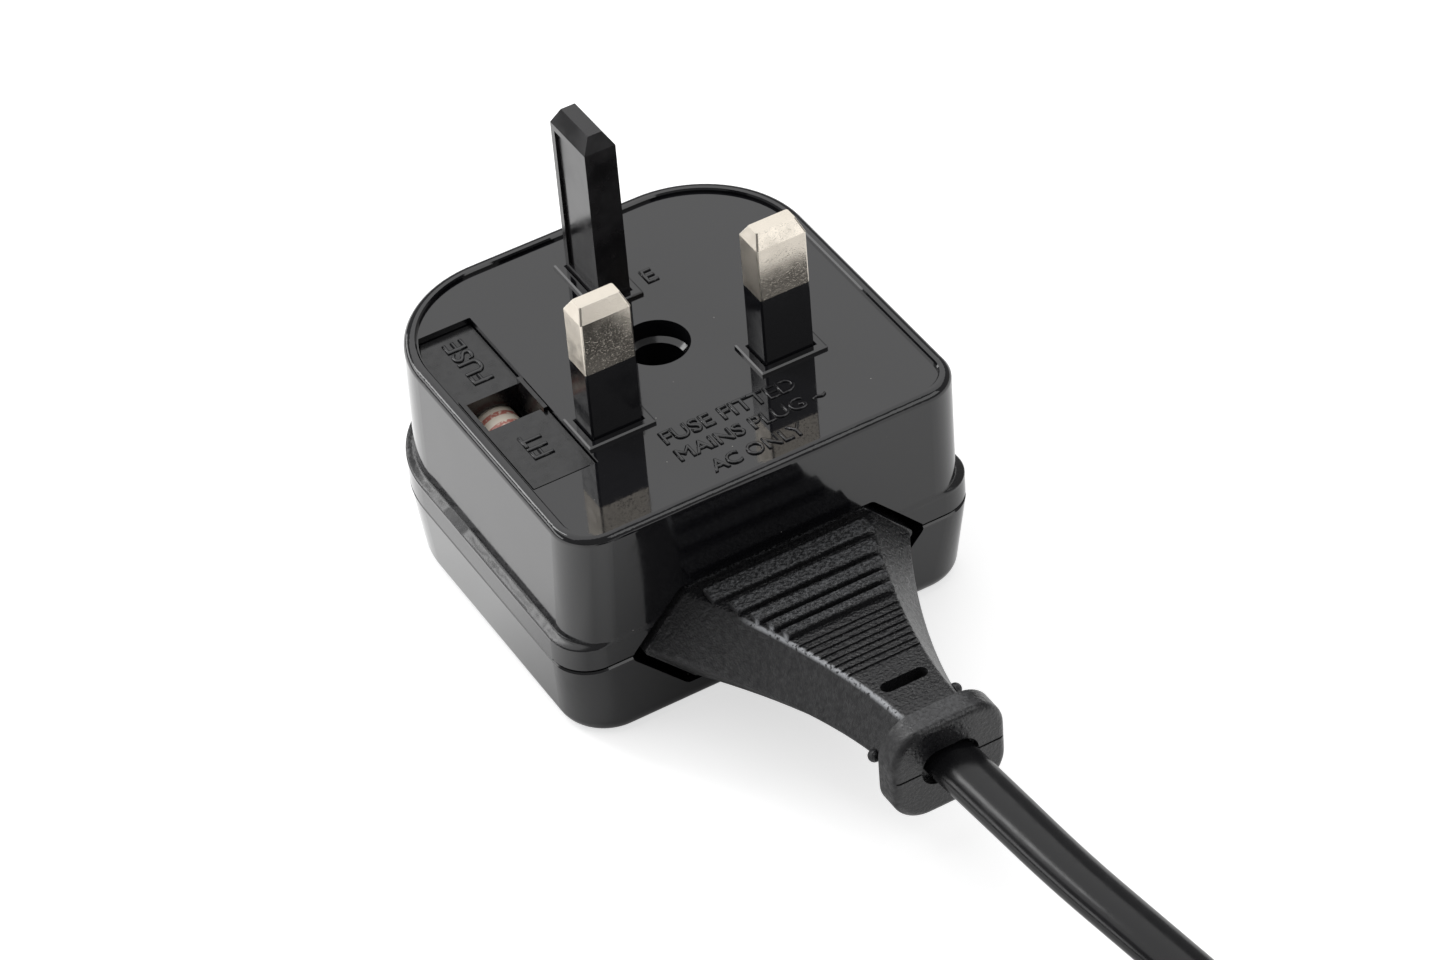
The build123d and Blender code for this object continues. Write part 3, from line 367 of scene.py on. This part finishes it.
# The lead: out of the plug's mouth, down to the floor, round its coil and up into the connector.
# Millimetres, as in the part's source, and the sheath's roll in degrees.
CORD_WIDTH, CORD_THICK = 6.2, 3.8
route = [
    (0.2, -51.0, 13.446),
    (0.8, -61.3, 13.6),
    (1.6, -72.5, 13.4),
    (3.1, -83.0, 13.0),
    (5.2, -93.5, 11.6),
    (7.6, -104.0, 9.2),
    (10.4, -115.0, 5.7),
    (13.3, -125.3, 2.8),
]
ROLL = (0, -3, -6, -8, -8, -6, -3, 0)
COIL_CENTRE = (-23.5, -133.5)
COLUMNS = (37.8, 31.5, 25.2)
FIRST_LAYER, LAYER, LAYERS = 2.65, 3.9, 3
CONNECTOR_Z = 17.6
COIL_START, COIL_END = 12.0, 285.0
POINTS_A_TURN = 16
STEP_OVER = 0.24
CLIMB = 0.3
winding = []
for layer in range(LAYERS):
    columns = COLUMNS if layer % 2 == 0 else COLUMNS[::-1]
    winding += [(column, FIRST_LAYER + layer * LAYER) for column in columns]


def ease(share):
    return (1 - cos(pi * min(1.0, max(0.0, share)))) / 2


# Each turn steps over to the next at its end, and the last one climbs to the connector
turns = len(winding) - 1 + (COIL_START - COIL_END + 360) / 360
steps = round(turns * POINTS_A_TURN)
for step in range(1, steps + 1):
    done = turns * step / steps
    turn, part_turn = divmod(done, 1.0)
    radius, height = winding[int(turn)]
    if turn + 1 < len(winding):
        over = ease((part_turn - 1 + STEP_OVER) / STEP_OVER)
        radius += (winding[int(turn) + 1][0] - radius) * over
        height += (winding[int(turn) + 1][1] - height) * over
    height += (CONNECTOR_Z - height) * ease(1 - (turns - done) / CLIMB)
    angle = radians(COIL_START) - 2 * pi * done
    x = COIL_CENTRE[0] + radius * cos(angle)
    y = COIL_CENTRE[1] + radius * sin(angle)
    route.append((x, y, height))

# The oval section is in millimetres: the route's points scale it by their radius
SECTION_POINTS = 32
profile_data = bpy.data.curves.new("sheath_profile", "CURVE")
profile_data.dimensions = "2D"
profile_line = profile_data.splines.new("POLY")
profile_line.points.add(SECTION_POINTS - 1)
for step, point in enumerate(profile_line.points):
    angle = 2 * pi * (step + 0.5) / SECTION_POINTS
    point.co = (cos(angle) * CORD_WIDTH / 2, sin(angle) * CORD_THICK / 2, 0, 1)
profile_line.use_cyclic_u = True
profile = bpy.data.objects.new("sheath_profile", profile_data)
profile.hide_render = True
scene.collection.objects.link(profile)
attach(profile, "adapter")

lead_data = bpy.data.curves.new("lead_sheath", "CURVE")
lead_data.dimensions = "3D"
lead_data.twist_mode = "Z_UP"
lead_data.resolution_u = 6
lead_line = lead_data.splines.new("NURBS")
lead_line.points.add(len(route) - 1)
for point, place in zip(lead_line.points, route):
    point.co = (*[value * MM for value in place], 1)
    point.radius = MM
for point, roll in zip(lead_line.points, ROLL):
    point.tilt = radians(roll)
lead_line.order_u = 3
lead_line.use_endpoint_u = True
lead_data.bevel_mode = "OBJECT"
lead_data.bevel_object = profile
lead_data.use_fill_caps = True
lead_data.materials.append(sheath)
lead_piece = add_object("lead_sheath", lead_data)
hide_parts("lead", "lead_coil")

# Raised plain words and letters on the face and the fuse carrier, in millimetres:
# the share of the font's size that a capital takes, and how far the letters stand off
CAPITALS = 0.72
LETTER_LIFT = 0.05


def raised(name, words, height, length, place, turn, body):
    text_data = bpy.data.curves.new(name, "FONT")
    text_data.body = words
    text_data.size = height * MM / CAPITALS
    text_data.extrude = 0.02 * MM
    text_data.offset = -0.08 * MM
    text_data.bevel_depth = 0.15 * MM
    text_data.bevel_resolution = 3
    text_data.materials.append(gloss_black)
    piece = add_object(name, text_data, body)
    bpy.context.view_layer.update()
    piece.scale[0] = length * MM / piece.dimensions[0]
    piece.location = [value * MM for value in place]
    piece.rotation_euler[2] = radians(turn)


FACE_Z = 29.6 + LETTER_LIFT
PANEL_Z = 28.7 + LETTER_LIFT
raised("word_fuse", "FUSE", 2.5, 8.1, (-17.6, 14.9, PANEL_Z), 90, "fuse_drawer")
raised("word_fit", "FIT", 2.5, 4.3, (-18.5, -1.0, FACE_Z), 90, "fuse_drawer")
raised("line_first", "FUSE FITTED", 2.2, 17.0, (-7.9, -6.9, FACE_Z), 0, "adapter")
raised("line_second", "MAINS PLUG ~", 2.0, 19.0, (-7.9, -10.2, FACE_Z), 0, "adapter")
raised("line_third", "AC ONLY", 2.0, 11.9, (-5.5, -13.9, FACE_Z), 0, "adapter")
raised("letter_e", "E", 2.4, 1.5, (4.3, 18.6, FACE_Z), 0, "adapter")
